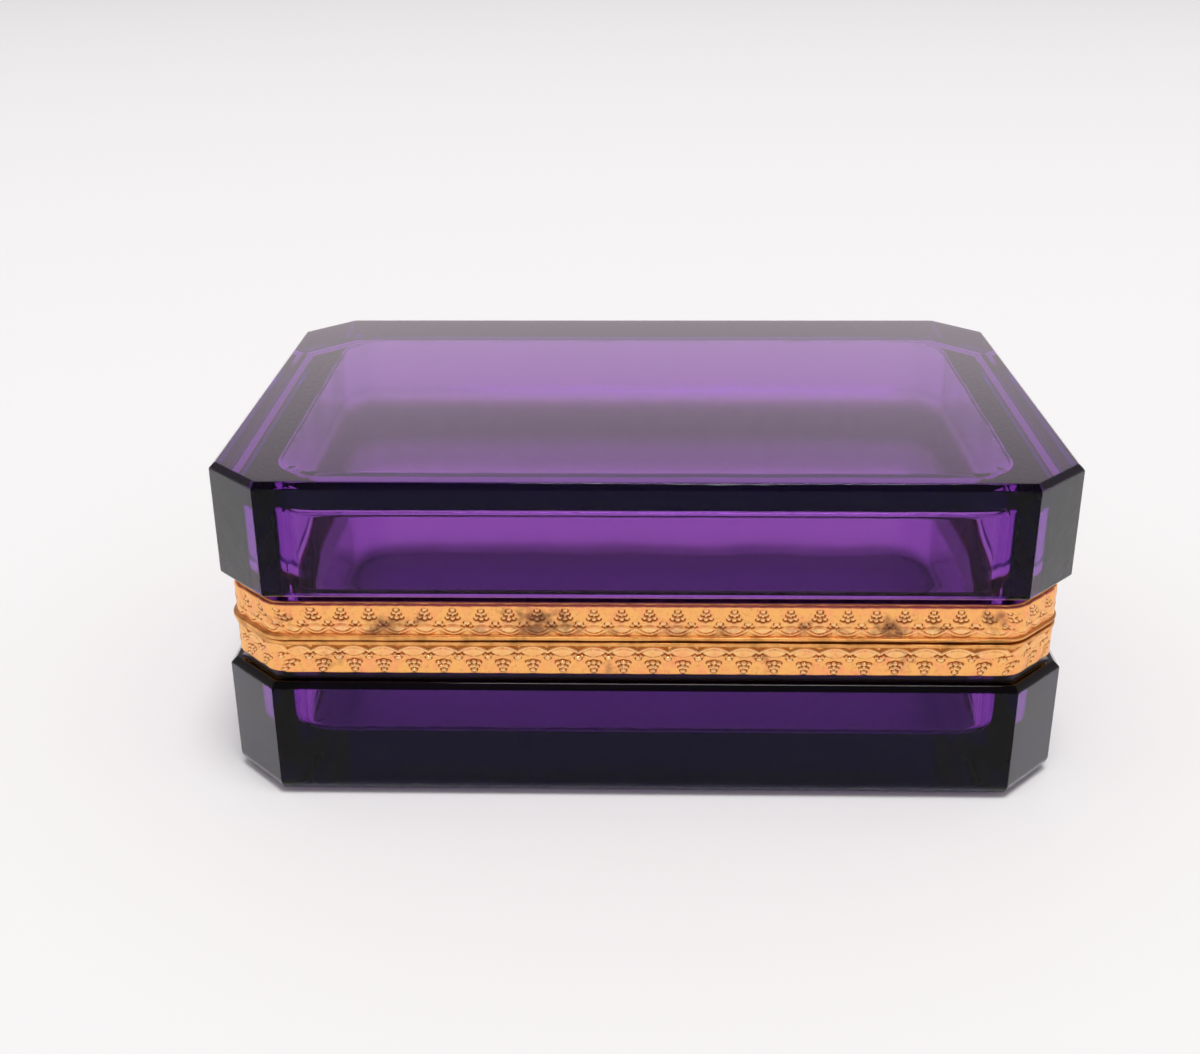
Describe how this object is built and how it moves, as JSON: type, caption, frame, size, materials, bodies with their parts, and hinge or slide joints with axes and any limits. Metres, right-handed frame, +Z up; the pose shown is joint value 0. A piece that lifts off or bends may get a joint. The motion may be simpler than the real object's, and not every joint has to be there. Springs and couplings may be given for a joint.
{
  "type": "glass casket box",
  "caption": "Cut-corner casket of thick purple glass with embossed gilt mounts and a lid hinged at the back, for papers and keepsakes.",
  "frame": {"origin": "centre of the flat face that the casket rests on, under the middle of the glass", "axes": "+X to the right along the width, +Y to the back where the hinge is, +Z up"},
  "size_m": [0.15, 0.1017, 0.0609],
  "materials": {
    "amethyst_glass": "polished cut glass, deep purple",
    "gilt_embossed": "gilt stamped brass, embossed, with tarnish in the recesses",
    "gilt_plain": "gilt brass, plain and rubbed",
    "brass_liner": "brass, dulled",
    "brass_hinge": "brass, worn",
    "plaster": "set plaster, matt",
    "steel_pin": "drawn steel wire"
  },
  "bodies": {
    "base": {"base_glass": "amethyst_glass", "base_plaster_bed": "plaster", "base_rim": "gilt_plain", "base_liner": "brass_liner", "base_gallery_band": "gilt_embossed", "base_hinge_leaf": "brass_hinge", "hinge_pin": "steel_pin"},
    "lid": {"lid_glass": "amethyst_glass", "lid_plaster_bed": "plaster", "lid_rim": "gilt_plain", "lid_liner": "brass_liner", "lid_gallery_band": "gilt_embossed", "lid_hinge_leaf": "brass_hinge"}
  },
  "joints": [
    {"name": "lid_hinge", "type": "hinge", "parent": "base", "child": "lid", "pos_m": [0, 0.0504, 0.03085], "axis": [-1, 0, 0], "range_deg": [0, 95]}
  ]
}
